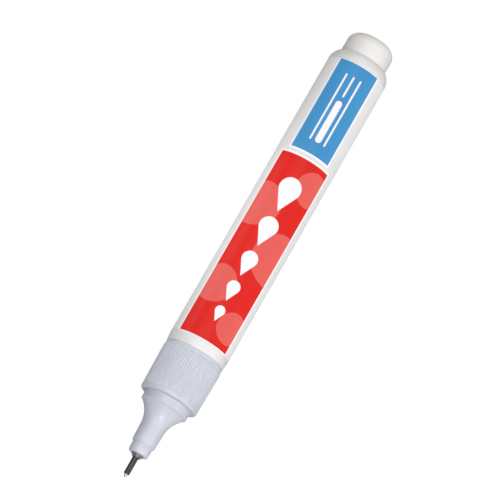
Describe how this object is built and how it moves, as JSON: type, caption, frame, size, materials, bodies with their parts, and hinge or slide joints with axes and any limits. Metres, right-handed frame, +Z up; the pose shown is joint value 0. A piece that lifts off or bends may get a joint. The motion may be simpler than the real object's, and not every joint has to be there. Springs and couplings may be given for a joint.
{
  "type": "correction pen",
  "caption": "Squeeze correction pen lying on its side, cap off: white barrel with a printed film, ribbed screw collar, tapered nozzle and a spring-loaded needle tip.",
  "frame": {"origin": "on the surface that the pen lies on, under the middle of its length", "axes": "+X along the pen's axis from the tip to the tail, +Z up, +Y to the side"},
  "size_m": [0.1276, 0.016, 0.016],
  "materials": {
    "barrel_plastic": "satin, slightly translucent soft white polyethylene",
    "plug_plastic": "matt white moulded plastic",
    "label_print": "satin white film with a red and a blue printed panel",
    "lavender_plastic": "satin lavender grey moulded plastic",
    "gasket_rubber": "matt black",
    "dark_steel": "dark turned steel",
    "bright_steel": "bright drawn wire",
    "turned_brass": "turned",
    "spring_steel": "drawn wire",
    "inner_plastic": "natural white",
    "ball_steel": "polished ball"
  },
  "bodies": {
    "barrel_unit": {"barrel": "barrel_plastic", "tail_plug": "plug_plastic", "label_film": "label_print"},
    "nozzle_unit": {"nozzle": "lavender_plastic", "neck_gasket": "gasket_rubber", "tip_holder": "lavender_plastic", "metal_tip": "dark_steel", "spring_retainer": "inner_plastic", "valve_spring": "spring_steel"},
    "collar": {"screw_collar": "lavender_plastic"},
    "valve": {"valve_pin": "bright_steel", "pin_head": "turned_brass"},
    "ball": {"agitator_ball": "ball_steel"}
  },
  "joints": [
    {"name": "nozzle_lift", "type": "slide", "parent": "barrel_unit", "child": "nozzle_unit", "axis": [-1, 0, 0], "range_m": [0, 0.004]},
    {"name": "collar_turn", "type": "hinge", "parent": "nozzle_unit", "child": "collar", "pos_m": [-0.03524, 0, 0.008], "axis": [-1, 0, 0], "range_deg": [0, 720]},
    {"name": "tip_press", "type": "slide", "parent": "nozzle_unit", "child": "valve", "axis": [1, 0, 0], "range_m": [0, 0.0008], "stiffness_N_per_m": 150, "springref_m": -0.002, "deforming": ["valve_spring"]},
    {"name": "ball_run", "type": "slide", "parent": "barrel_unit", "child": "ball", "axis": [-1, 0, 0], "range_m": [0, 0.073]}
  ],
  "couplings": [
    {"joint": "collar_turn", "follows": "nozzle_lift", "rad_per_m": 3141.5}
  ]
}
